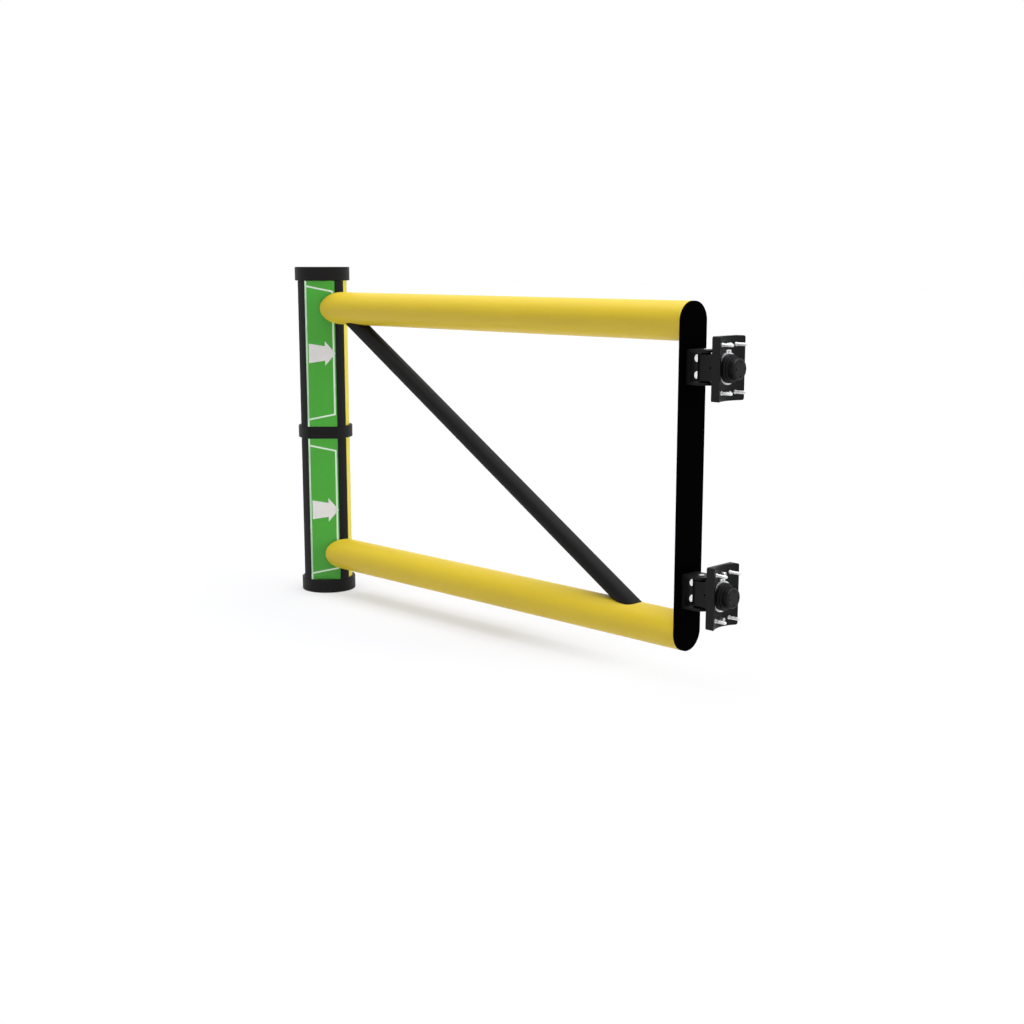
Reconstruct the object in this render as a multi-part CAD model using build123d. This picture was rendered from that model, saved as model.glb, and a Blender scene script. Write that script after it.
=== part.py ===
from build123d import *
import math
import os

# Safety railing swing gate: a closing post with a direction sign, a leaf of two round rails with a
# diagonal brace, and two hinge sets that bolt to a round post of the customer's railing.
# Millimetres. +Z is up and the ground is z = 0. The origin is the centre of the closing post's foot.
# +X runs from the closing post to the hinge side, and the leaf opens towards -Y.

# General fits
fit_gap = 0.3
running_gap = 0.1
press_gap = 0.05
edge_chamfer = 1.5
post_edge_round = 3.0
overcut = 1.0

# Closing post
post_height = 1300.0
tube_radius = 96.0
tube_wall = 10.0
cap_wall = 11.2
top_cap_height = 53.0
top_cap_socket = 25.0
mid_ring_height = 48.0
base_cap_height = 53.0
base_floor = 8.0

# Sign on the post: its flat faces halfway between +X and -Y
sign_angle = -45.0
sign_flat_depth = 17.5
sign_strip_half_angle = 56.0
sign_panel_thickness = 4.0
sign_panel_recess = 1.0

# Leaf. Rails are set in by the same height from the ground and from the post's top.
leaf_length = 1731.0
leaf_offset_y = -6.0
rail_inset_height = 159.0
rail_radius = 62.5
rail_wall = 8.0
rail_cap_thickness = 8.0
end_plate_thickness = 10.0
closing_gap = 7.5
brace_radius = 31.5
brace_wall = 5.0
brace_head_inset = 94.5
brace_foot_inset = 248.0

# Hinge sets
hinge_inset_height = 138.0
pin_radius = 8.0
pin_offset_width = 48.5
bracket_width = 74.0
bracket_height = 108.0
bracket_base_thickness = 12.0
bracket_ear_thickness = 8.0
bracket_bolt_radius = 13.0
bracket_bolt_height = 4.0
bracket_bolt_spacing = 52.0
knuckle_radius = 27.0
cross_hole_radius = 3.0
cross_hole_offset = 35.0
washer_radius = 14.0
washer_thickness = 5.9

# Saddle that seats on the round post, with what it carries
mating_post_radius = 108.0
knuckle_length = 67.5
saddle_width = 125.0
saddle_depth = 31.0
saddle_height = 197.0
saddle_corner = 6.0
ring_seat_depth = 1.0
ring_radius = 49.0
ring_thickness = 4.0
lug_radius = 13.0
lug_reach = 46.0
lug_hole_radius = 3.0
stud_radius = 5.0
stud_root_radius = 6.5
stud_reach = 40.0
stud_depth = 12.0
stud_spacing_y = 70.0
stud_spacing_z = 145.0
peg_radius = 5.5
peg_reach = 14.0
peg_depth = 6.0

# Stepped spigot that enters the post
flange_radius = 44.0
flange_length = 17.0
step_radius = 38.5
step_length = 6.0
nose_radius = 33.0
nose_length = 24.0
nose_round = 6.5
nose_hole_radius = 3.0
nose_hole_circle_radius = 22.0
nose_hole_depth = 8.0
nose_hole_count = 4

# Places worked out from the driving dimensions
cap_radius = tube_radius + fit_gap + cap_wall
sign_flat = cap_radius - sign_flat_depth
window_half_width = math.sqrt(cap_radius**2 - sign_flat**2)
mitre = sign_flat + closing_gap
sign_turn = math.radians(sign_angle)
rail_start = (mitre - leaf_offset_y * math.sin(sign_turn)) / math.cos(sign_turn)
end_plate_face = rail_start + leaf_length
end_plate_back = end_plate_face - end_plate_thickness
rail_z = {"bottom": rail_inset_height, "top": post_height - rail_inset_height}
hinge_z = {
    "lower": rail_z["bottom"] + hinge_inset_height,
    "upper": rail_z["top"] - hinge_inset_height,
}
knuckle_height = bracket_height - 2 * (bracket_ear_thickness + running_gap + washer_thickness)
pin_x = end_plate_face + pin_offset_width
saddle_back = pin_x + knuckle_length
saddle_front = saddle_back + saddle_depth
hollow_x = saddle_front + math.sqrt(mating_post_radius**2 - (saddle_width / 2) ** 2)
ring_seat = hollow_x - mating_post_radius - ring_seat_depth
tube_flat = sign_flat - sign_panel_recess - sign_panel_thickness - fit_gap
tube_top = post_height - top_cap_height + top_cap_socket
ring_bottom = (post_height - mid_ring_height) / 2
ring_top = ring_bottom + mid_ring_height
far = 2 * end_plate_face
on_base = (Align.CENTER, Align.CENTER, Align.MIN)

os.makedirs("parts", exist_ok=True)


def write(name, shape):
    export_step(shape, f"parts/{name}.step")
    print(f"{name:26s} {shape.volume / 1000:9.1f} cm3")


def box_between(low, high):
    corner = Pos(*low)
    return corner * Box(*[h - l for l, h in zip(low, high)], align=(Align.MIN, Align.MIN, Align.MIN))


def upright(radius, bottom, top, x=0.0, y=0.0):
    """A cylinder that stands on the plane z = bottom."""
    return Pos(x, y, bottom) * Cylinder(radius, top - bottom, align=on_base)


def along_x(radius, start, end, z, y=leaf_offset_y):
    """A cylinder that lies along +X from start to end."""
    return Pos(start, y, z) * Rot(0, 90, 0) * Cylinder(radius, end - start, align=on_base)


def beyond_sign(distance):
    """All space further out than this from the post's axis, measured square to the sign."""
    return Rot(0, 0, sign_angle) * box_between((distance, -far, -far), (distance + 2 * far, far, far))


def d_bar(radius, flat, bottom, top):
    """A round bar on the post's axis with a flat on the sign's side."""
    return upright(radius, bottom, top) - beyond_sign(flat)


def black_ring(bottom, top):
    """A plain disc on the post's axis with both rims rounded."""
    disc = upright(cap_radius, bottom, top)
    return fillet(disc.edges().filter_by(GeomType.CIRCLE), post_edge_round)


# Closing post: a D-shaped tube with its flat behind the sign, and black rings round it
def post_tube():
    tube = d_bar(tube_radius, tube_flat, base_floor, tube_top)
    return tube - d_bar(tube_radius - tube_wall, tube_flat - tube_wall, 0, tube_top + overcut)


def tube_socket(bottom, top):
    """The space that a piece round the tube leaves for it."""
    return d_bar(tube_radius + fit_gap, tube_flat + fit_gap, bottom, top)


def base_cap():
    """The foot: a cup that stands on the ground and holds the tube on its floor."""
    cap = black_ring(0, base_cap_height)
    return cap - tube_socket(base_floor, base_cap_height + overcut)


def top_cap():
    underside = post_height - top_cap_height
    cap = black_ring(underside, post_height)
    return cap - tube_socket(underside - overcut, tube_top)


def middle_ring():
    band = black_ring(ring_bottom, ring_top)
    return band - beyond_sign(sign_flat) - tube_socket(ring_bottom - overcut, ring_top + overcut)


def sign_panel(bottom, top):
    face = sign_flat - sign_panel_recess
    half = window_half_width - fit_gap
    panel = box_between((tube_flat + fit_gap, -half, bottom), (face, half, top))
    return Rot(0, 0, sign_angle) * panel


def sign_strip(side, bottom, top):
    """The curved black strip on one side of the sign, from its window round the tube."""
    shell = upright(cap_radius, bottom, top)
    shell -= upright(tube_radius + fit_gap, bottom - overcut, top + overcut)
    outside_window = Pos(0, side * (window_half_width + far / 2), 0) * Box(2 * far, far, 2 * far)
    in_front = Rot(0, 0, side * sign_strip_half_angle) * Pos(0, -side * far / 2, 0) * Box(far, far, 2 * far)
    forward = box_between((0, -far, bottom), (sign_flat, far, top))
    return Rot(0, 0, sign_angle) * (shell & outside_window & in_front & forward)


# Leaf: the rails end at the post in a mitre that is parallel to the sign's flat
def rail(z):
    tube = along_x(rail_radius, -rail_radius, end_plate_back, z)
    tube -= along_x(rail_radius - rail_wall, -far, end_plate_back + overcut, z)
    return tube & beyond_sign(mitre)


def rail_end_cap(z):
    plug = along_x(rail_radius - rail_wall - fit_gap, -rail_radius, end_plate_face / 2, z)
    return (plug & beyond_sign(mitre)) - beyond_sign(mitre + rail_cap_thickness)


def end_plate():
    middle = (rail_z["bottom"] + rail_z["top"]) / 2
    face = Plane(origin=(end_plate_back, leaf_offset_y, middle), x_dir=(0, 0, 1), z_dir=(1, 0, 0))
    outline = SlotCenterToCenter(rail_z["top"] - rail_z["bottom"], 2 * rail_radius)
    return extrude(face * outline, end_plate_thickness)


def diagonal_brace():
    """A tube that leans between the rails, hollowed at both ends to seat on them."""
    head = Vector(rail_start + brace_head_inset, leaf_offset_y, rail_z["top"] - rail_radius)
    foot = Vector(end_plate_back - brace_foot_inset, leaf_offset_y, rail_z["bottom"] + rail_radius)
    way = (head - foot).normalized()
    bar = Plane(origin=foot - way * rail_radius, z_dir=way)
    length = (head - foot).length + 2 * rail_radius
    brace = bar * Cylinder(brace_radius, length, align=on_base)
    brace -= bar * Cylinder(brace_radius - brace_wall, length, align=on_base)
    for z in rail_z.values():
        brace -= along_x(rail_radius + fit_gap, -rail_radius, end_plate_face, z)
    return brace.solids().sort_by(SortBy.VOLUME)[-1]


# Hinge sets. Each level is the height of the middle of one hinge.
def hinge_bracket(z):
    """A clevis on the end plate: a base and two ears that are round about the pin."""
    low = z - bracket_height / 2
    high = z + bracket_height / 2
    near = leaf_offset_y - bracket_width / 2
    back = leaf_offset_y + bracket_width / 2
    clevis = box_between((end_plate_face, near, low), (pin_x, back, high))
    clevis += upright(bracket_width / 2, low, high, pin_x, leaf_offset_y)
    clevis -= box_between(
        (end_plate_face + bracket_base_thickness, near - overcut, low + bracket_ear_thickness),
        (pin_x + bracket_width, back + overcut, high - bracket_ear_thickness),
    )
    return clevis - upright(pin_radius + running_gap, low - overcut, high + overcut, pin_x, leaf_offset_y)


def bracket_bolts(z):
    """The two bolt heads on the middle line of the bracket's base."""
    seat = end_plate_face + bracket_base_thickness
    heads = []
    for side in (-1, 1):
        level = z + side * bracket_bolt_spacing / 2
        heads.append(along_x(bracket_bolt_radius, seat, seat + bracket_bolt_height, level))
    return Compound(heads)


def hinge_knuckle(z):
    """The block round the pin, square where it meets the saddle."""
    low = z - knuckle_height / 2
    high = z + knuckle_height / 2
    near = leaf_offset_y - knuckle_radius
    back = leaf_offset_y + knuckle_radius
    block = upright(knuckle_radius, low, high, pin_x, leaf_offset_y)
    block += box_between((pin_x, near, low), (saddle_back, back, high))
    block -= upright(pin_radius + press_gap, low - overcut, high + overcut, pin_x, leaf_offset_y)
    cross = Pos(pin_x + cross_hole_offset, leaf_offset_y, z) * Rot(90, 0, 0)
    return block - cross * Cylinder(cross_hole_radius, 3 * knuckle_radius)


def hinge_pin(z):
    return upright(pin_radius, z - bracket_height / 2, z + bracket_height / 2, pin_x, leaf_offset_y)


def hinge_washers(z):
    """One washer on top of the knuckle and one under it."""
    washers = []
    for low in (z + knuckle_height / 2, z - knuckle_height / 2 - washer_thickness):
        high = low + washer_thickness
        washer = upright(washer_radius, low, high, pin_x, leaf_offset_y)
        washer -= upright(pin_radius + fit_gap, low - overcut, high + overcut, pin_x, leaf_offset_y)
        washers.append(washer)
    return Compound(washers)


def post_surface(y):
    """Where the round post's surface lies at this distance from the saddle's middle line."""
    return hollow_x - math.sqrt(mating_post_radius**2 - y**2)


def stud_places(z):
    rows = GridLocations(stud_spacing_y, stud_spacing_z, 2, 2)
    return [(leaf_offset_y + place.position.X, z + place.position.Y) for place in rows]


def peg_places(z):
    return [(leaf_offset_y, z - stud_spacing_z / 2), (leaf_offset_y, z + stud_spacing_z / 2)]


def ring_outline(z, start, gap, thickness):
    """A disc with a lug on top that blends into it, enlarged all round by the gap."""
    face = Plane(origin=(start, leaf_offset_y, z), x_dir=(0, 1, 0), z_dir=(1, 0, 0))
    disc = Circle(ring_radius + gap).edges()
    lug = (Pos(0, lug_reach) * Circle(lug_radius + gap)).edges()
    return extrude(face * make_hull(disc + lug), thickness)


def hinge_saddle(z):
    saddle = box_between(
        (saddle_back, leaf_offset_y - saddle_width / 2, z - saddle_height / 2),
        (saddle_front, leaf_offset_y + saddle_width / 2, z + saddle_height / 2),
    )
    saddle = fillet(saddle.edges().filter_by(Axis.X), saddle_corner)
    saddle -= upright(mating_post_radius, z - saddle_height, z + saddle_height, hollow_x, leaf_offset_y)
    saddle -= ring_outline(z, ring_seat, fit_gap, saddle_depth)
    for y, level in stud_places(z):
        start = post_surface(stud_spacing_y / 2) - stud_depth
        saddle -= along_x(stud_root_radius + press_gap, start, saddle_front, level, y)
    for y, level in peg_places(z):
        start = post_surface(0) - peg_depth
        saddle -= along_x(peg_radius + press_gap, start, saddle_front, level, y)
    return saddle


def hinge_ring(z):
    """A flat steel plate under the spigot, with a drilled lug on top."""
    ring = ring_outline(z, ring_seat, 0, ring_thickness)
    back = ring_seat - overcut
    front = ring_seat + ring_thickness + overcut
    return ring - along_x(lug_hole_radius, back, front, z + lug_reach)


def hinge_spigot(z):
    """Flange, step and rounded nose, with a circle of small holes in the end."""
    flange_start = ring_seat + ring_thickness
    step_start = flange_start + flange_length
    nose_start = step_start + step_length
    nose_end = nose_start + nose_length
    flange = along_x(flange_radius, flange_start, step_start, z)
    step = along_x(step_radius, step_start, nose_start, z)
    nose = along_x(nose_radius, nose_start, nose_end, z)
    spigot = chamfer(flange.edges().filter_by(GeomType.CIRCLE).sort_by(Axis.X)[-1], edge_chamfer)
    spigot += chamfer(step.edges().filter_by(GeomType.CIRCLE).sort_by(Axis.X)[-1], edge_chamfer)
    spigot += fillet(nose.edges().filter_by(GeomType.CIRCLE).sort_by(Axis.X)[-1], nose_round)
    for place in PolarLocations(nose_hole_circle_radius, nose_hole_count):
        y = leaf_offset_y + place.position.X
        level = z + place.position.Y
        spigot -= along_x(nose_hole_radius, nose_end - nose_hole_depth, nose_end + overcut, level, y)
    return spigot


def hinge_studs(z):
    """Studs with a thicker root, which ends where it has just left the saddle all round."""
    base = post_surface(stud_spacing_y / 2)
    root_end = post_surface(stud_spacing_y / 2 + stud_root_radius)
    studs = []
    for y, level in stud_places(z):
        stud = along_x(stud_root_radius, base - stud_depth, root_end, level, y)
        studs.append(stud + along_x(stud_radius, root_end, base + stud_reach, level, y))
    return Compound(studs)


def hinge_pegs(z):
    start = post_surface(0) - peg_depth
    end = start + peg_depth + peg_reach
    return Compound([along_x(peg_radius, start, end, level, y) for y, level in peg_places(z)])


write("post_tube", post_tube())
write("post_base_cap", base_cap())
write("post_middle_ring", middle_ring())
write("post_top_cap", top_cap())

windows = {
    "lower": (base_cap_height + fit_gap, ring_bottom - fit_gap),
    "upper": (ring_top + fit_gap, post_height - top_cap_height - fit_gap),
}
for name, (bottom, top) in windows.items():
    write(f"sign_panel_{name}", sign_panel(bottom, top))
    write(f"sign_strip_{name}_left", sign_strip(-1, bottom, top))
    write(f"sign_strip_{name}_right", sign_strip(1, bottom, top))

for name, z in rail_z.items():
    write(f"leaf_{name}_rail", rail(z))
    write(f"leaf_{name}_rail_end_cap", rail_end_cap(z))
write("leaf_diagonal_brace", diagonal_brace())
write("leaf_end_plate", end_plate())

hinge_pieces = {
    "bracket": hinge_bracket,
    "bracket_bolts": bracket_bolts,
    "knuckle": hinge_knuckle,
    "pin": hinge_pin,
    "washers": hinge_washers,
    "saddle": hinge_saddle,
    "ring": hinge_ring,
    "spigot": hinge_spigot,
    "studs": hinge_studs,
    "pegs": hinge_pegs,
}
for name, z in hinge_z.items():
    for piece, make in hinge_pieces.items():
        write(f"{name}_hinge_{piece}", make(z))
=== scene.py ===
# %% [markdown]
# This lesson dresses a swing gate of a safety railing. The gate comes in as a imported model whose
# pieces already have their real sizes, so nothing here moves or resizes them. What is added is what
# a drawing leaves out: the finish of every surface, screw threads and sockets at the hinges, and the
# film on the direction sign of the closing post.

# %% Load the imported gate
import bpy
import math
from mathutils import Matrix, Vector


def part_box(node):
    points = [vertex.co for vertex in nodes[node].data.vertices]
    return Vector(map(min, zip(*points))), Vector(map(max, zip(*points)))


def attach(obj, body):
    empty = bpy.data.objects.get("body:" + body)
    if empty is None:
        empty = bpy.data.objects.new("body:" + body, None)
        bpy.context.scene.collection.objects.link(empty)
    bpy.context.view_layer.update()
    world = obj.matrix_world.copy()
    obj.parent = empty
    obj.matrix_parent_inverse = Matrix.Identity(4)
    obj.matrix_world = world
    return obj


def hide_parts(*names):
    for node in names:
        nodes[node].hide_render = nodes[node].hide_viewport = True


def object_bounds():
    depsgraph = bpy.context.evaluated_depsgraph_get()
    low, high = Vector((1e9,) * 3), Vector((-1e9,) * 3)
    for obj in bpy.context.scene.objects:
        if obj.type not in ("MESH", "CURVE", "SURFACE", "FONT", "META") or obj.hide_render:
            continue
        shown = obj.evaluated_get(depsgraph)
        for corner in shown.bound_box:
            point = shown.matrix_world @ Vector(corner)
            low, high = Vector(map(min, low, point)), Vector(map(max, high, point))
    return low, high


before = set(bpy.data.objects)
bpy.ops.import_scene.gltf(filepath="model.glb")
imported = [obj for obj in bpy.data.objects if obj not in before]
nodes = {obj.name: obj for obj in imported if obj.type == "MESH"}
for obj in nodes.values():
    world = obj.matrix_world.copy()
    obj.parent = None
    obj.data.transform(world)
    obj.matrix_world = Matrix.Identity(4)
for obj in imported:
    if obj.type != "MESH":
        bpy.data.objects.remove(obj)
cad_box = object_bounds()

bpy.context.scene.view_settings.view_transform = "Standard"
print(len(nodes), "nodes, box", [round(v, 3) for corner in cad_box for v in corner])

# %% [markdown]
# The camera comes first, because every later choice is judged through it. The photograph looks at
# the gate from a little over its top edge, ten degrees down, square to the sign on the post and so
# at 45 degrees to the leaf. The long lens keeps the rails nearly parallel.

# %% Camera
camera_place = Vector((4.5791, -3.5144, 1.3229))
camera_dip = 10
camera_turn = 45
lens_length = 50.05
sensor_width = 36

camera_data = bpy.data.cameras.new("camera")
camera_data.lens = lens_length
camera_data.sensor_width = sensor_width
camera = bpy.data.objects.new("camera", camera_data)
camera.location = camera_place
camera.rotation_euler = (math.radians(90 - camera_dip), 0, math.radians(camera_turn))
bpy.context.scene.collection.objects.link(camera)
bpy.context.scene.camera = camera
gate_middle = (cad_box[0] + cad_box[1]) / 2
print("camera", round((camera_place - gate_middle).length, 2), "m from the middle of the gate")

# %% [markdown]
# Materials are built from nodes, and nodes are easier to read as sums. A wire is one output socket,
# and adding, subtracting or multiplying wires places the Math nodes. Every other node comes from one
# method, which takes the node's type, its settings, and the values or wires of its inputs.

# %% Shader maths
class Wire:
    """An output socket that works in Python sums."""

    def __init__(self, board, socket):
        self.board = board
        self.socket = socket

    def maths(self, operation, *values):
        return self.board.node("ShaderNodeMath", {"operation": operation}, dict(enumerate(values)))

    def __add__(self, other):
        return self.maths("ADD", self, other)

    def __radd__(self, other):
        return self.maths("ADD", other, self)

    def __sub__(self, other):
        return self.maths("SUBTRACT", self, other)

    def __rsub__(self, other):
        return self.maths("SUBTRACT", other, self)

    def __mul__(self, other):
        return self.maths("MULTIPLY", self, other)

    def __rmul__(self, other):
        return self.maths("MULTIPLY", other, self)


class Board:
    """The node tree of one material or world."""

    def __init__(self, tree):
        self.tree = tree
        tree.nodes.clear()

    def node(self, kind, settings=None, inputs=None, output=0):
        made = self.tree.nodes.new(kind)
        for name, value in (settings or {}).items():
            setattr(made, name, value)
        for name, value in (inputs or {}).items():
            if isinstance(value, Wire):
                self.tree.links.new(value.socket, made.inputs[name])
            else:
                made.inputs[name].default_value = value
        return Wire(self, made.outputs[output]) if made.outputs else None

    def mix_colours(self, factor, first, second):
        """Blends colours, which a Mix node takes at its inputs 6 and 7 and gives at its output 2."""
        blended = {0: factor, 6: first, 7: second}
        return self.node("ShaderNodeMix", {"data_type": "RGBA"}, blended, output=2)


print("shader maths ready")

# %% [markdown]
# The studio's sky is nearly dark for diffuse light, so that the sides of the rails are lit from the
# floor, as in the photo. Where the camera, a reflection or a see-through surface looks at the sky, it
# is pure white, which keeps the backdrop white.

# %% Sky
sky_level = 0.08
white = (1, 1, 1, 1)


def seen_directly(board):
    """1 where the camera, a reflection or a see-through surface looks, 0 for diffuse light."""
    rays = [board.node("ShaderNodeLightPath", output=name)
            for name in ("Is Camera Ray", "Is Glossy Ray", "Is Transmission Ray")]
    return rays[0] + rays[1] + rays[2]


world = bpy.data.worlds.new("studio")
bpy.context.scene.world = world
world.use_nodes = True
sky = Board(world.node_tree)
seen = seen_directly(sky)
background = sky.node("ShaderNodeBackground", inputs={
    "Color": white, "Strength": sky_level + (1 - sky_level) * seen})
sky.node("ShaderNodeOutputWorld", inputs={"Surface": background})
print("sky at", sky_level)

# %% [markdown]
# The floor is one large sheet. Seen by the camera it is part light of its own and part real paper,
# mixed so that open floor is just white and the shadow stays a pale grey. Its own light grows from the
# middle of the leaf to the hinges, where the shadow fades as it does in the photograph. For the light
# that it throws back up at the rails it is ordinary grey paper. It lies half a millimetre low, so that
# the foot of the post and the floor don't share one plane.

# %% Floor
floor_size = 120
floor_drop = 0.0005
floor_bounce = 0.66
floor_tone = (0.81, 0.815, 0.865)
floor_glow = 0.5
floor_glow_at_hinges = 0.95
fade_start = 1.0
fade_end = 1.65

bpy.ops.mesh.primitive_plane_add(size=floor_size, location=(0, 0, -floor_drop))
floor = bpy.context.object
floor.name = "floor"
paper = bpy.data.materials.new("floor_paper")
paper.use_nodes = True
board = Board(paper.node_tree)
seen = seen_directly(board)
tone = board.mix_colours(seen, (*[floor_bounce] * 3, 1), (*floor_tone, 1))
lit = board.node("ShaderNodeBsdfDiffuse", inputs={"Color": tone})
glow = board.node("ShaderNodeEmission", inputs={"Strength": 1.0})
place = board.node("ShaderNodeTexCoord", output="Object")
along = board.node("ShaderNodeSeparateXYZ", inputs={"Vector": place})
fade = board.node("ShaderNodeMapRange", inputs={
    "Value": along, "From Min": fade_start, "From Max": fade_end,
    "To Min": floor_glow, "To Max": floor_glow_at_hinges})
sheet = board.node("ShaderNodeMixShader", inputs={0: fade * seen, 1: lit, 2: glow})
board.node("ShaderNodeOutputMaterial", inputs={"Surface": sheet})
floor.data.materials.append(paper)
print("floor", floor.dimensions[:2])

# %% [markdown]
# Two lamps stand straight overhead. The small one gives the shadow on the floor its core, and the broad
# one lights the tops of both rails, because it is wide enough to reach past the top one. A third lamp
# looks along the rails from the hinges: it lifts the sign and the post, leaves the fronts of the rails
# alone, and puts no shine on the black parts. Each has a strength, an angle that it fills in the sky,
# and a turn, both in degrees.

# %% Lamps
lamps = {
    "small": (0.75, 8, (0, 0, 0)),
    "broad": (2.85, 70, (0, 0, 0)),
    "side": (1.5, 30, (0, 86, 14)),
}
for name, (strength, softness, turn) in lamps.items():
    lamp_data = bpy.data.lights.new(name, "SUN")
    lamp_data.energy = strength
    lamp_data.angle = math.radians(softness)
    lamp = bpy.data.objects.new(name, lamp_data)
    lamp.rotation_euler = [math.radians(angle) for angle in turn]
    lamp.visible_glossy = name != "side"
    bpy.context.scene.collection.objects.link(lamp)
print("lamps", list(lamps))

# %% [markdown]
# Finishes share a few patterns. All are noise in the object's own metres, so the grain keeps its real
# size on every piece: broad clouds of tone, lines drawn along an extrusion, fine moulded grain, and
# sparse hairline scratches. A Bevel node finds the edges, where the black finishes get a painted
# highlight.

# %% Patterns
hairline_stretch = (1, 34, 34)
hairline_start = 0.72
hairline_full = 0.76


def noise(board, scale, detail=2.0, stretch=(1, 1, 1), turn=(0, 0, 0)):
    place = board.node("ShaderNodeTexCoord", output="Object")
    placed = board.node("ShaderNodeMapping", inputs={
        "Vector": place, "Rotation": turn, "Scale": stretch})
    return board.node("ShaderNodeTexNoise", inputs={"Vector": placed, "Scale": scale, "Detail": detail})


def above(board, value, start, end):
    """0 up to the start and 1 from the end on."""
    return board.node("ShaderNodeMapRange", inputs={"Value": value, "From Min": start, "From Max": end})


def scratches(board, share, turn):
    """Hairlines a few centimetres long, more of them as the share grows."""
    lines = noise(board, scale=22, detail=3, stretch=hairline_stretch, turn=turn)
    return above(board, lines, hairline_start - share, hairline_full - share)


def edge_mask(board, radius):
    """0 on flats, rising where the surface turns within this radius."""
    rounded = board.node("ShaderNodeBevel", {"samples": 6}, {"Radius": radius})
    straight = board.node("ShaderNodeNewGeometry", output="Normal")
    same = board.node("ShaderNodeVectorMath", {"operation": "DOT_PRODUCT"}, {0: rounded, 1: straight},
                      output="Value")
    return above(board, 1 - same, start=0.01, end=0.2), rounded


print("patterns ready")

# %% [markdown]
# Every finish starts with an empty board and closes with one glossy surface, whose inputs are given by
# name. The shades of a colour are the colour times a factor.

# %% Starting and closing a finish
def shade(colour, factor):
    return (*[min(1, channel * factor) for channel in colour], 1)


def start_finish(name):
    material = bpy.data.materials.new(name)
    material.use_nodes = True
    return material, Board(material.node_tree)


def close_finish(board, **inputs):
    surface = board.node("ShaderNodeBsdfPrincipled", inputs={
        name.replace("_", " "): value for name, value in inputs.items()})
    board.node("ShaderNodeOutputMaterial", inputs={"Surface": surface})


print("half a shade of white", shade((1, 1, 1), 0.5))

# %% [markdown]
# The rails and the post are extruded polymer, coloured right through. The die leaves faint lines
# along the tube, the colour drifts a little over a metre, and scuffs from trolleys are duller than
# the skin around them. The grain direction is a setting, because the post stands and the rails lie.
# The three tubes carry three shades of one yellow, which are painted light and shade: the top rail is
# darker, the bottom rail lighter to make up for the top rail's shadow on it, and the post lighter.

# %% Extruded polymer
line_stretch = 0.02


def extruded(name, colour, along, roughness=0.42, specular=0.4):
    material, board = start_finish(name)
    stretch = [line_stretch if axis == along else 1 for axis in "XYZ"]
    clouds = noise(board, scale=2.2, detail=3)
    lines = noise(board, scale=260, detail=3, stretch=stretch)
    skin = noise(board, scale=700)
    scuff = scratches(board, share=0.03, turn=(0.3, 0.2, 0.5))
    tone = above(board, 0.75 * clouds + 0.25 * lines, start=0.25, end=0.75)
    coloured = board.mix_colours(tone, shade(colour, 0.965), shade(colour, 1.03))
    worn = board.mix_colours(0.2 * scuff, coloured, shade(colour, 0.78))
    height = 0.7 * lines + 0.3 * skin - 0.4 * scuff
    bump = board.node("ShaderNodeBump", inputs={"Height": height, "Strength": 0.08, "Distance": 0.0003})
    close_finish(board, Base_Color=worn, Normal=bump, Specular_IOR_Level=specular,
                 Roughness=roughness - 0.05 + 0.12 * lines + 0.18 * scuff)
    return material


# Painted light and shade: one yellow in three shades, darker on the top rail and lighter on the bottom
# rail and the post.
top_yellow_painted_darker = extruded("top_rail_yellow", (0.84, 0.613, 0.0325), "X")
bottom_yellow_painted_lighter = extruded("bottom_rail_yellow", (0.93, 0.680, 0.0362), "X")
post_yellow_painted_lighter = extruded("post_yellow_painted_lighter", (0.91, 0.765, 0.052), "Z")
print(top_yellow_painted_darker.name, bottom_yellow_painted_lighter.name, post_yellow_painted_lighter.name)

# %% [markdown]
# Caps, sign strips, spigots, the brace and the end plate are black polymer. It carries a fine grain
# that breaks the reflection into a soft sheen. Its corners are glossier and carry a painted highlight,
# and scuffs from hands and trolleys lighten it in places.
# The four blacks differ in gloss: the spigots shine most, and the end plate is dead matt.

# %% Black polymer
def moulded(name, colour, specular, roughness=0.5, grain=0.25):
    material, board = start_finish(name)
    clouds = noise(board, scale=5, detail=3)
    pebble = noise(board, scale=1600)
    scuff = scratches(board, share=0.025, turn=(0.9, 0.4, 0.1))
    edge, rounded = edge_mask(board, radius=0.0012)
    tone = board.mix_colours(clouds, shade(colour, 0.8), shade(colour, 1.2))
    # Painted highlight along the edges, and real scuffs, both lighten the black.
    edge_highlight_and_scuffs = board.mix_colours(0.35 * edge + 0.3 * scuff, tone, shade(colour, 2.6))
    bump = board.node("ShaderNodeBump", inputs={
        "Height": pebble, "Strength": grain, "Distance": 0.00025, "Normal": rounded})
    close_finish(board, Base_Color=edge_highlight_and_scuffs, Normal=bump, Specular_IOR_Level=specular,
                 Roughness=roughness - 0.1 + 0.16 * clouds + 0.1 * pebble - 0.12 * edge)
    return material


cap_black = moulded("cap_black", (0.0044, 0.0044, 0.0047), specular=0.18)
spigot_black = moulded("spigot_black", (0.0036, 0.0036, 0.0039), specular=0.2, roughness=0.44,
                       grain=0.12)
brace_black = moulded("brace_black", (0.0042, 0.0042, 0.0045), specular=0.14, grain=0.06)
plate_black = moulded("plate_black", (0.0006, 0.0006, 0.0006), specular=0.01, roughness=0.9, grain=0.3)
print(cap_black.name, spigot_black.name, brace_black.name, plate_black.name)

# %% [markdown]
# The hinge sets are steel under a thick black powder coat. Powder melts into a skin like orange peel.
# Its edges turn a lighter grey in patches, partly a painted highlight and partly wear where a corner
# is knocked.

# %% Powder-coated steel
edge_highlight_wear_and_speck_grey = (0.09, 0.09, 0.092, 1)


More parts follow.
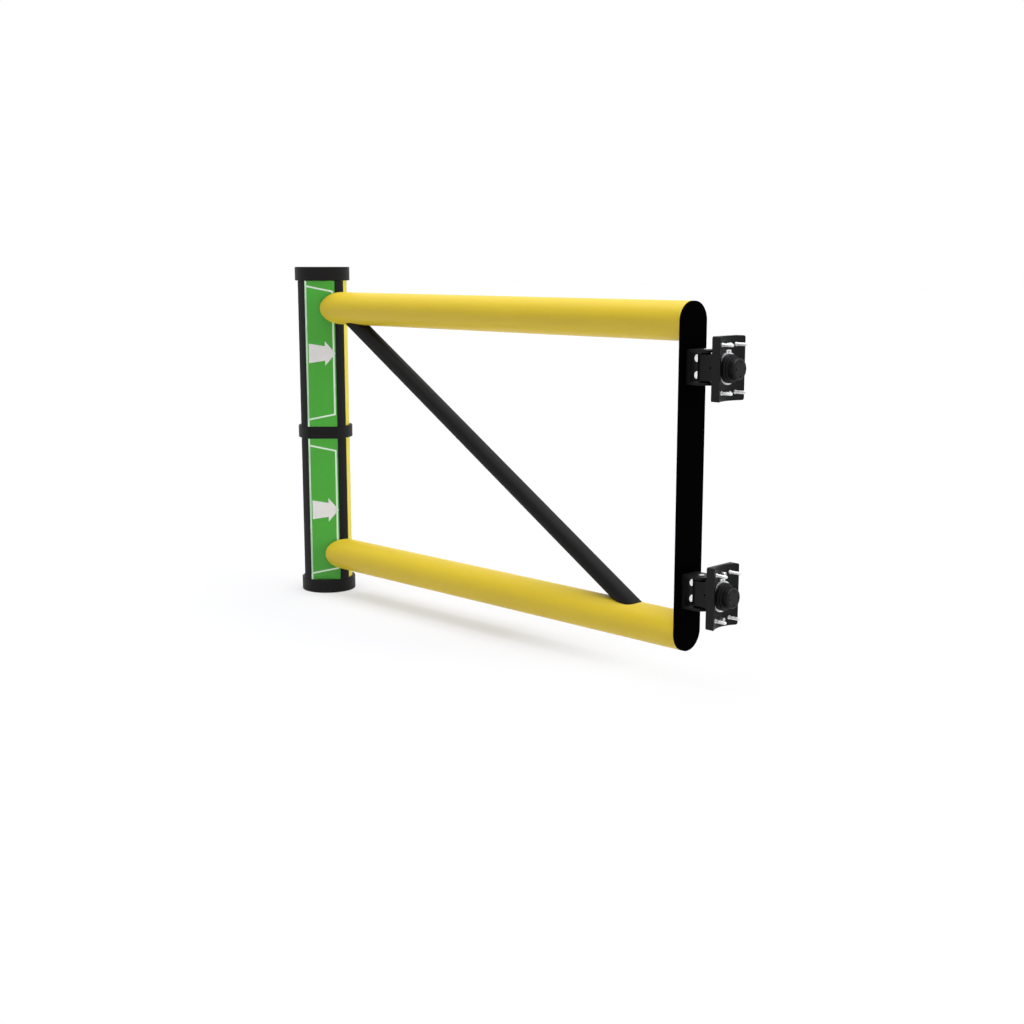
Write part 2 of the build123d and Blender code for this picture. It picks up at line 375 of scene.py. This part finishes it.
def powder_coat(name, colour, roughness=0.45, specular=0.17):
    material, board = start_finish(name)
    peel = noise(board, scale=420)
    speck = above(board, noise(board, scale=2600, detail=1), start=0.62, end=0.7)
    clouds = noise(board, scale=9, detail=3)
    patches = above(board, clouds, start=0.4, end=0.6)
    edge, rounded = edge_mask(board, radius=0.001)
    tone = board.mix_colours(clouds, shade(colour, 0.8), shade(colour, 1.25))
    # Painted highlight and wear: the edges lighten to grey in patches, and fine specks lighten too.
    coat_with_lit_worn_edges = board.mix_colours(0.5 * edge * patches + 0.1 * speck, tone, edge_highlight_wear_and_speck_grey)
    bump = board.node("ShaderNodeBump", inputs={
        "Height": peel + 0.15 * speck, "Strength": 0.3, "Distance": 0.0004, "Normal": rounded})
    close_finish(board, Base_Color=coat_with_lit_worn_edges, Normal=bump, Specular_IOR_Level=specular,
                 Roughness=roughness - 0.06 + 0.14 * clouds + 0.1 * speck)
    return material


hinge_black = powder_coat("hinge_black", (0.0042, 0.0042, 0.0045))
print(hinge_black.name)

# %% [markdown]
# Pins, studs, bolts and the flat ring are zinc-plated steel: pale and slightly milky, with the faint
# cloudy spangle of the plating and fine turning marks. A plated skin scatters light as well as
# mirroring it, so the surface is less than fully metallic. The bolt heads sit deep in the brackets,
# where no lamp reaches, and are given a little light of their own to stay as bright as in the photo.

# %% Zinc-plated steel
def zinc(name, colour=(0.93, 0.935, 0.94), roughness=0.36, glow=0.0):
    material, board = start_finish(name)
    spangle = noise(board, scale=180)
    marks = noise(board, scale=900, stretch=(0.1, 1, 1))
    edge, rounded = edge_mask(board, radius=0.0006)
    tone = board.mix_colours(0.6 * spangle + 0.4 * marks, shade(colour, 0.9), shade(colour, 1.05))
    bump = board.node("ShaderNodeBump", inputs={
        "Height": marks, "Strength": 0.15, "Distance": 0.0001, "Normal": rounded})
    close_finish(board, Base_Color=tone, Normal=bump, Metallic=0.85,
                 Emission_Color=tone, Emission_Strength=glow,
                 Roughness=roughness - 0.08 + 0.2 * spangle - 0.1 * edge)
    return material


bright_zinc = zinc("bright_zinc")
ring_zinc = zinc("ring_zinc", (0.84, 0.845, 0.87), roughness=0.42)
head_zinc = zinc("head_zinc", glow=0.8)
print(bright_zinc.name, ring_zinc.name, head_zinc.name)

# %% [markdown]
# The sign is printed film on a flat panel. Film is smooth and even, so its detail is small: a slight
# unevenness of the ink, a soft gloss, and dust that dulls it in patches. The pale lines and arrows
# carry a little painted glow of their own, which lifts them above what the lamps give.

# %% Sign film
def film(name, colour, glow=0.0, roughness=0.32, specular=0.35):
    material, board = start_finish(name)
    ink = noise(board, scale=60, detail=3)
    dust = noise(board, scale=7, detail=4)
    scuff = scratches(board, share=0.02, turn=(0.2, 1.1, 0.7))
    tone = board.mix_colours(0.6 * ink + 0.4 * dust, shade(colour, 0.94), shade(colour, 1.05))
    bump = board.node("ShaderNodeBump", inputs={"Height": ink, "Strength": 0.05, "Distance": 0.0002})
    close_finish(board, Base_Color=tone, Normal=bump, Specular_IOR_Level=specular,
                 Emission_Color=tone, Emission_Strength=glow,
                 Roughness=roughness - 0.05 + 0.12 * dust + 0.15 * scuff)
    return material


sign_green = film("sign_green", (0.080, 0.485, 0.045))
# Painted light: the pale lines and the arrows glow a little.
sign_line = film("sign_line", (0.80, 0.97, 0.80), glow=0.10)
sign_arrow = film("sign_arrow", (0.94, 0.925, 0.935), glow=0.05)
print(sign_green.name, sign_line.name, sign_arrow.name)

# %% [markdown]
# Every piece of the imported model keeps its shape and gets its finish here. The finish is chosen by the
# ending of the piece's name, and where several endings fit, by the longest.

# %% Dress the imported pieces
finish_by_ending = {
    "top_rail": top_yellow_painted_darker, "top_rail_end_cap": top_yellow_painted_darker, "post_tube": post_yellow_painted_lighter,
    "bottom_rail": bottom_yellow_painted_lighter, "bottom_rail_end_cap": bottom_yellow_painted_lighter,
    "post_base_cap": cap_black, "post_middle_ring": cap_black, "post_top_cap": cap_black,
    "_left": cap_black, "_right": cap_black,
    "sign_panel_upper": sign_green, "sign_panel_lower": sign_green,
    "_brace": brace_black, "_end_plate": plate_black, "_spigot": spigot_black,
    "_bracket": hinge_black, "_knuckle": hinge_black, "_saddle": hinge_black,
    "_bracket_bolts": bright_zinc, "_pin": bright_zinc, "_washers": cap_black, "_ring": ring_zinc,
    "_studs": bright_zinc, "_pegs": bright_zinc,
}
for name, node in nodes.items():
    endings = [ending for ending in finish_by_ending if name.endswith(ending)]
    finish = finish_by_ending[max(endings, key=len)]
    node.data.materials.clear()
    node.data.materials.append(finish)
print({node.data.materials[0].name for node in nodes.values()})

# %% [markdown]
# Now the new pieces. Each starts as a primitive at its place and is shaped in edit mode. Operators act
# on all that is selected, so these helpers select exactly one piece, or exactly the points, edges or
# faces that a test picks by their place. The tolerance is how far off a place may be.

# %% Selecting
tolerance = 1e-5
end_facing = 0.99


def start_piece(name):
    piece = bpy.context.object
    piece.name = name
    return piece


def clear_selection():
    if bpy.context.object and bpy.context.object.mode != "OBJECT":
        bpy.ops.object.mode_set(mode="OBJECT")
    bpy.ops.object.select_all(action="DESELECT")


def make_active(*pieces):
    clear_selection()
    for piece in pieces:
        piece.select_set(True)
    bpy.context.view_layer.objects.active = pieces[0]


def pick(piece, kind, test):
    """Goes into edit mode with only the points, edges or faces that pass the test selected."""
    make_active(piece)
    bpy.ops.object.mode_set(mode="EDIT")
    bpy.ops.mesh.select_mode(type=kind)
    bpy.ops.mesh.select_all(action="DESELECT")
    bpy.ops.object.mode_set(mode="OBJECT")
    mesh = piece.data
    if kind == "VERT":
        for vertex in mesh.vertices:
            vertex.select = test(vertex.co)
    if kind == "EDGE":
        for edge in mesh.edges:
            edge.select = test(*[mesh.vertices[i].co for i in edge.vertices])
    if kind == "FACE":
        for face in mesh.polygons:
            face.select = test(face)
    bpy.ops.object.mode_set(mode="EDIT")


def pick_end(piece, way):
    """Goes into edit mode with the flat end selected that faces along X, either way."""
    pick(piece, "FACE", lambda face: face.normal.x * way > end_facing)


print("picks faces that turn less than", round(math.degrees(math.acos(end_facing))), "degrees from X")

# %% [markdown]
# These helpers finish a piece. Its place goes into its mesh, a modifier is applied, or its shading is
# smoothed up to an angle. The last one hands it over to the gate with its finish, the body that carries
# it and the plain piece that it stands for.

# %% Finishing a piece
fixed_body = "post_and_hinge_mounts"
leaf_body = "leaf"
smooth_angle = 35


def settle(piece):
    """Puts the piece's place, turn and size into its mesh."""
    make_active(piece)
    bpy.ops.object.transform_apply(location=True, rotation=True, scale=True)


def apply_modifier(piece, kind, **settings):
    make_active(piece)
    modifier = piece.modifiers.new("step", kind)
    for name, value in settings.items():
        setattr(modifier, name, value)
    bpy.ops.object.modifier_apply(modifier=modifier.name)


def smooth(piece):
    make_active(piece)
    bpy.ops.object.shade_smooth_by_angle(angle=math.radians(smooth_angle))


def hand_over(piece, finish, slot, body, *replaced):
    piece.data.materials.clear()
    piece.data.materials.append(finish)
    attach(piece, body)
    if replaced:
        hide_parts(*replaced)
    lowest = [round(v, 4) for v in piece.bound_box[0]]
    print(piece.name, len(piece.data.polygons), "faces, from", lowest)


# %% [markdown]
# The sign tells people which way the gate opens: an outline of a door leaf in perspective and an
# arrow that points to the leaf. Both are cut film on the green panel, so they are modelled as thin
# sheets 0.3 mm thick that stand on its face. They are drawn flat, with x to the right and y up, and
# then turned onto the panel in one step. The drawing sits a little under the middle of the lower
# window and a little over the middle of the upper one.

# %% Sign frame
film_thickness = 0.0003
window_half = 0.0585
drawing_shift = {"lower": -0.0012, "upper": 0.0036}
sign_turn = math.radians(45)
outward = Vector((math.cos(-sign_turn), math.sin(-sign_turn), 0))
panel_face = 0.089


def stand_on_panel(piece, middle):
    """Thickens a flat drawing and turns it onto the panel, with its middle at this height."""
    apply_modifier(piece, "SOLIDIFY", thickness=film_thickness, offset=1)
    piece.rotation_euler = (math.radians(90), 0, sign_turn)
    piece.location = outward * panel_face + Vector((0, 0, middle))
    settle(piece)


def window_middle(name):
    """The height of a window's middle, and half the height of the window."""
    low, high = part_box(f"sign_panel_{name}")
    return (low.z + high.z) / 2, (high.z - low.z) / 2


print("sign windows", window_middle("lower"), window_middle("upper"))

# %% [markdown]
# The arrow's tail is a plane whose right end is drawn in, and the head grows from that end: extruded
# by a hair's breadth and stretched to the barbs, then extruded to the tip and merged to a point.

# %% Arrow
arrow_tail = (-0.0475, 0.0160)
arrow_tail_half = (0.0382, 0.0284)
arrow_barb = 0.0001
arrow_head_half = 0.0480
arrow_tip = 0.0570


def arrow(name, middle):
    start, root = arrow_tail
    clear_selection()
    bpy.ops.mesh.primitive_plane_add(size=1, location=((start + root) / 2, 0, 0))
    piece = start_piece(name)
    piece.scale = (root - start, 2 * arrow_tail_half[0], 1)
    settle(piece)
    pick(piece, "EDGE", lambda a, b: min(a.x, b.x) > root - tolerance)
    bpy.ops.transform.resize(value=(1, arrow_tail_half[1] / arrow_tail_half[0], 1))
    bpy.ops.mesh.extrude_region_move(TRANSFORM_OT_translate={"value": (arrow_barb, 0, 0)})
    bpy.ops.transform.resize(value=(1, arrow_head_half / arrow_tail_half[1], 1))
    bpy.ops.mesh.extrude_region_move(TRANSFORM_OT_translate={"value": (arrow_tip - root, 0, 0)})
    bpy.ops.mesh.merge(type="CENTER")
    bpy.ops.object.mode_set(mode="OBJECT")
    stand_on_panel(piece, middle)
    return piece


for name in ("lower", "upper"):
    middle = window_middle(name)[0]
    piece = arrow(f"sign_arrow_{name}", middle + drawing_shift[name])
    hand_over(piece, sign_arrow, "sign_white", fixed_body)

# %% [markdown]
# The door outline is a plane drawn to the door's trapezium, inset by the width of the line, with the
# middle face taken out. Its left side runs on past the corners as a bar over the whole window.

# %% Door outline
line_width = 0.0066
right_line_out = 0.0535
door_half_height = {"lower": 0.2642, "upper": 0.2664}
door_narrowing = 0.915


def door_outline(name, middle, half):
    clear_selection()
    bpy.ops.mesh.primitive_plane_add(size=1, location=((right_line_out - window_half) / 2, 0, 0))
    piece = start_piece(name)
    piece.scale = (right_line_out + window_half, 2 * half, 1)
    settle(piece)
    pick(piece, "EDGE", lambda a, b: min(a.x, b.x) > 0)
    bpy.ops.transform.resize(value=(1, door_narrowing, 1))
    bpy.ops.mesh.select_mode(type="FACE")
    bpy.ops.mesh.select_all(action="SELECT")
    bpy.ops.mesh.inset(thickness=line_width)
    bpy.ops.mesh.delete(type="ONLY_FACE")
    bpy.ops.object.mode_set(mode="OBJECT")
    stand_on_panel(piece, middle)
    return piece


def edge_bar(name, middle, half):
    clear_selection()
    bpy.ops.mesh.primitive_plane_add(size=1, location=(-window_half + line_width / 2, 0, 0))
    piece = start_piece(name)
    piece.scale = (line_width, 2 * half, 1)
    settle(piece)
    stand_on_panel(piece, middle)
    return piece


for name in ("lower", "upper"):
    middle, half = window_middle(name)
    outline = door_outline(f"sign_door_{name}", middle + drawing_shift[name], door_half_height[name])
    bar = edge_bar(f"sign_edge_{name}", middle, half)
    hand_over(outline, sign_line, "sign_white", fixed_body)
    hand_over(bar, sign_line, "sign_white", fixed_body)

# %% [markdown]
# The hinges come next. Their bolts and studs arrive as plain rods, and each is replaced by a piece with
# the form that a spanner or a nut needs. Every pattern piece is modelled once, lying along X from the
# origin. These helpers make rods, cut pieces, sink sockets, and set copies of a pattern in their places.

# %% Cutting and copying
def cut(piece, x, keep):
    """Cuts square to X, keeps the side that the sign of keep points to, and closes the cut."""
    pick(piece, "VERT", lambda point: True)
    bpy.ops.mesh.bisect(plane_co=(x, 0, 0), plane_no=(keep, 0, 0), use_fill=True, clear_inner=True)
    bpy.ops.object.mode_set(mode="OBJECT")


def rod(name, radius, start, end, sides=48):
    """A cylinder along X."""
    clear_selection()
    bpy.ops.mesh.primitive_cylinder_add(
        vertices=sides, radius=radius, depth=end - start, location=((start + end) / 2, 0, 0),
        rotation=(0, math.radians(90), 0))
    piece = start_piece(name)
    settle(piece)
    return piece


def sink_socket(piece, top, across_flats, depth):
    """Cuts a hexagon socket into the end at the top."""
    cutter = rod("cutter", across_flats / math.sqrt(3), top - depth, top + depth, sides=6)
    apply_modifier(piece, "BOOLEAN", operation="DIFFERENCE", solver="EXACT", object=cutter)
    bpy.data.objects.remove(cutter)


def join(*pieces):
    make_active(*pieces)
    bpy.ops.object.join()
    return bpy.context.object


def set_copies(pattern, name, places):
    """Copies of the pattern, each with its own mesh, joined to one piece."""
    copies = []
    for place in places:
        copy = pattern.copy()
        copy.data = pattern.data.copy()
        copy.location = place
        bpy.context.scene.collection.objects.link(copy)
        copies.append(copy)
    piece = join(*copies) if len(copies) > 1 else copies[0]
    piece.name = name
    settle(piece)
    smooth(piece)
    return piece


print("cutting and copying ready")

# %% [markdown]
# A thread is a helix. Its profile over one turn is a single edge, root to crest to root: a plane is cut
# back to that edge, subdivided, and its middle drawn out. The Screw modifier carries it round and along,
# the ends are cut square, and the last turns are drawn in, as a die leaves them. The plain shoulder is
# the part that grips the saddle, and the thread starts a little inside it.

# %% Threaded stud
thread_radius = 0.0050
thread_depth = 0.0008
thread_pitch = 0.0015
thread_steps = 18
spare_turns = 2
weld_distance = 1e-6
lead_in = ((0.0022, 0.95), (0.0011, 0.9))
shoulder_radius = 0.0065
shoulder_end = 0.01447
shoulder_edge = 0.0005
thread_in_shoulder = 0.0003
stud_low, stud_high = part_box("upper_hinge_studs")
stud_length = stud_high.x - stud_low.x


def thread(name, start, end):
    clear_selection()
    middle = start - thread_pitch
    bpy.ops.mesh.primitive_plane_add(size=thread_pitch, location=(middle, 0, 0))
    piece = start_piece(name)
    settle(piece)
    pick(piece, "VERT", lambda point: point.y < 0)
    bpy.ops.mesh.delete(type="VERT")
    bpy.ops.mesh.select_all(action="SELECT")
    bpy.ops.mesh.subdivide(number_cuts=2)
    bpy.ops.transform.translate(value=(0, thread_radius - thread_depth - thread_pitch / 2, 0))
    pick(piece, "VERT", lambda point: abs(point.x - middle) < thread_pitch / 4)
    bpy.ops.transform.translate(value=(0, thread_depth, 0))
    bpy.ops.object.mode_set(mode="OBJECT")
    turns = math.ceil((end - start) / thread_pitch) + spare_turns
    apply_modifier(piece, "SCREW", axis="X", screw_offset=thread_pitch, iterations=turns,
                   steps=thread_steps, render_steps=thread_steps,
                   use_merge_vertices=True, merge_threshold=weld_distance)
    cut(piece, start, 1)
    cut(piece, end, -1)
    for length, factor in lead_in:
        pick(piece, "VERT", lambda point: point.x > end - length)
        bpy.ops.transform.resize(value=(1, factor, factor), center_override=(0, 0, 0))
        bpy.ops.object.mode_set(mode="OBJECT")
    pick(piece, "FACE", lambda face: True)
    bpy.ops.mesh.normals_make_consistent(inside=False)
    bpy.ops.object.mode_set(mode="OBJECT")
    return piece


shoulder = rod("shoulder", shoulder_radius, 0, shoulder_end)
apply_modifier(shoulder, "BEVEL", width=shoulder_edge, segments=2, limit_method="ANGLE")
stud = join(thread("stud", shoulder_end - thread_in_shoulder, stud_length), shoulder)
print("stud", len(stud.data.polygons), "faces,", round(stud_length * 1000, 1), "mm long")

# %% [markdown]
# Two bolts with low domed heads hold each bracket to the end plate. The head is a slice off a sphere:
# the sphere's size follows from the width and the rise of the dome. Its rim is drawn down to the
# bracket, and a hexagon socket is sunk into it.

# %% Domed bolt head
head_radius = 0.0112
rim_height = 0.0009
head_socket_width = 0.008
head_socket_depth = 0.0024
head_low, head_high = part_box("upper_hinge_bracket_bolts")
head_height = head_high.x - head_low.x
seat_radius = (head_high.y - head_low.y) / 2
rise = head_height - rim_height
ball_radius = (head_radius**2 + rise**2) / (2 * rise)

clear_selection()
bpy.ops.mesh.primitive_uv_sphere_add(
    segments=64, ring_count=96, radius=ball_radius, location=(head_height - ball_radius, 0, 0),
    rotation=(0, math.radians(90), 0))
head = start_piece("head")
settle(head)
cut(head, rim_height, 1)
pick_end(head, -1)
bpy.ops.mesh.extrude_region_move(TRANSFORM_OT_translate={"value": (-rim_height, 0, 0)})
bpy.ops.object.mode_set(mode="OBJECT")
sink_socket(head, head_height, head_socket_width, head_socket_depth)
print("head", len(head.data.polygons), "faces, ball", round(ball_radius * 1000, 1), "mm")

# %% [markdown]
# The short pegs between the studs are socket screws. Their side is fluted for the fingers: every second
# line of the rod is drawn in a little before the rim is bevelled and the socket sunk. The bevel's angle
# is set high enough to leave the flutes alone.

# %% Fluted socket screw
flutes = 24
flute_share = 0.96
peg_edge = 0.0004
peg_edge_angle = 50
peg_socket_width = 0.005
peg_socket_depth = 0.004
peg_low, peg_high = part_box("upper_hinge_pegs")
peg_length = peg_high.x - peg_low.x
peg_radius = (peg_high.y - peg_low.y) / 2

peg = rod("peg", peg_radius, 0, peg_length, sides=2 * flutes)
pick(peg, "VERT", lambda point: round(math.atan2(point.z, point.y) / math.pi * flutes) % 2 == 1)
bpy.ops.transform.resize(value=(1, flute_share, flute_share), center_override=(0, 0, 0))
bpy.ops.object.mode_set(mode="OBJECT")
apply_modifier(peg, "BEVEL", width=peg_edge, segments=2, limit_method="ANGLE",
               angle_limit=math.radians(peg_edge_angle))
sink_socket(peg, peg_length, peg_socket_width, peg_socket_depth)
print("peg", len(peg.data.polygons), "faces")

# %% [markdown]
# The hinge pin is turned, with a low head that stands over the bracket's upper ear. Turning leaves a
# chamfer at each end and the small cone that the lathe's centre drilled: the end face is inset to a
# small disc, pushed in, and merged to a point.

# %% Turned pin
pin_head_radius = 0.0098
pin_head_gap = 0.0003
pin_head_height = 0.0021
pin_in_head = 0.0004
pin_edge = 0.0006
centre_radius = 0.0018
centre_depth = 0.0012
pin_low, pin_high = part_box("upper_hinge_pin")
pin_length = pin_high.z - pin_low.z
pin_radius = (pin_high.x - pin_low.x) / 2
pin_head_bottom = pin_length / 2 + pin_head_gap


def drill_centre(piece, way, radius):
    pick_end(piece, way)
    bpy.ops.mesh.inset(thickness=radius - pin_edge - centre_radius)
    bpy.ops.mesh.extrude_region_move(TRANSFORM_OT_translate={"value": (-centre_depth * way, 0, 0)})
    bpy.ops.mesh.merge(type="CENTER")
    bpy.ops.object.mode_set(mode="OBJECT")


pin = rod("pin", pin_radius, -pin_length / 2, pin_head_bottom + pin_in_head)
pin_head = rod("pin_head", pin_head_radius, pin_head_bottom, pin_head_bottom + pin_head_height)
for piece in (pin, pin_head):
    apply_modifier(piece, "BEVEL", width=pin_edge, segments=2, limit_method="ANGLE")
drill_centre(pin, -1, pin_radius)
drill_centre(pin_head, 1, pin_head_radius)
pin = join(pin, pin_head)
pin.rotation_euler = (0, math.radians(-90), 0)
settle(pin)
print("pin", len(pin.data.polygons), "faces,", round(pin_length * 1000, 1), "mm long")

# %% [markdown]
# The plate under each spigot carries a raised rim around the spigot's flange, and a drilled lug on top.
# It is a disc with a block joined on; the recess for the flange and the lug's hole are cut out of it.

# %% Rimmed ring
ring_radius = 0.0490
ring_sides = 144
ring_edge = 0.0003
recess_radius = 0.0443
plate_thickness = 0.0040
rim_front = 0.0066
lug_half_width = 0.0118
lug_bottom = 0.0400
lug_top = 0.0570
lug_back = 0.0019
lug_corner = 0.0050
lug_hole_radius = 0.0028
lug_hole_height = 0.0500
cut_past = 0.001

ring = rod("ring", ring_radius, 0, rim_front, sides=ring_sides)
lug_middle = ((lug_back + rim_front) / 2, 0, (lug_bottom + lug_top) / 2)
bpy.ops.mesh.primitive_cube_add(size=1, location=lug_middle)
lug = start_piece("lug")
lug.scale = (rim_front - lug_back, 2 * lug_half_width, lug_top - lug_bottom)
settle(lug)
pick(lug, "EDGE", lambda a, b: min(a.z, b.z) > lug_top - tolerance and abs(a.x - b.x) > tolerance)
bpy.ops.mesh.bevel(offset=lug_corner, segments=6)
bpy.ops.object.mode_set(mode="OBJECT")
apply_modifier(ring, "BOOLEAN", operation="UNION", solver="EXACT", object=lug)
recess = rod("recess", recess_radius, plate_thickness, 2 * rim_front, sides=ring_sides)
hole = rod("hole", lug_hole_radius, -cut_past, 2 * rim_front)
hole.location.z = lug_hole_height
settle(hole)
for cutter in (recess, hole):
    apply_modifier(ring, "BOOLEAN", operation="DIFFERENCE", solver="EXACT", object=cutter)
for cutter in (lug, recess, hole):
    bpy.data.objects.remove(cutter)
apply_modifier(ring, "BEVEL", width=ring_edge, segments=2, limit_method="ANGLE")
print("ring", len(ring.data.polygons), "faces")

# %% [markdown]
# Each pattern now goes to its places, which are read from the box of the plain piece that it replaces:
# studs at the four corners, heads and pegs at the top and bottom of the middle line.

# %% Set the hinge hardware
def middle_line(low, high, radius):
    """The places at the bottom and the top of a box, halfway across it."""
    middle = (low.y + high.y) / 2
    return [(low.x, middle, z) for z in (low.z + radius, high.z - radius)]


for name in ("lower", "upper"):
    hinge = f"{name}_hinge"
    low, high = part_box(f"{hinge}_studs")
    rows = [low.z + shoulder_radius, high.z - shoulder_radius]
    sides = [low.y + shoulder_radius, high.y - shoulder_radius]
    studs = set_copies(stud, f"{hinge}_threaded_studs", [(low.x, y, z) for y in sides for z in rows])
    hand_over(studs, bright_zinc, "bright_steel", fixed_body, f"{hinge}_studs")

    low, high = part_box(f"{hinge}_bracket_bolts")
    heads = set_copies(head, f"{hinge}_domed_bolts", middle_line(low, high, seat_radius))
    hand_over(heads, head_zinc, "bright_steel", leaf_body, f"{hinge}_bracket_bolts")

    low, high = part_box(f"{hinge}_pegs")
    pegs = set_copies(peg, f"{hinge}_socket_screws", middle_line(low, high, peg_radius))
    hand_over(pegs, bright_zinc, "bright_steel", fixed_body, f"{hinge}_pegs")

    low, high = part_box(f"{hinge}_pin")
    pins = set_copies(pin, f"{hinge}_turned_pin", [(low + high) / 2])
    hand_over(pins, bright_zinc, "bright_steel", fixed_body, f"{hinge}_pin")

    low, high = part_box(f"{hinge}_ring")
    place = (low.x, (low.y + high.y) / 2, low.z + ring_radius)
    rings = set_copies(ring, f"{hinge}_rimmed_ring", [place])
    hand_over(rings, ring_zinc, "bright_steel", fixed_body, f"{hinge}_ring")

for pattern in (stud, head, peg, pin, ring):
    bpy.data.objects.remove(pattern)
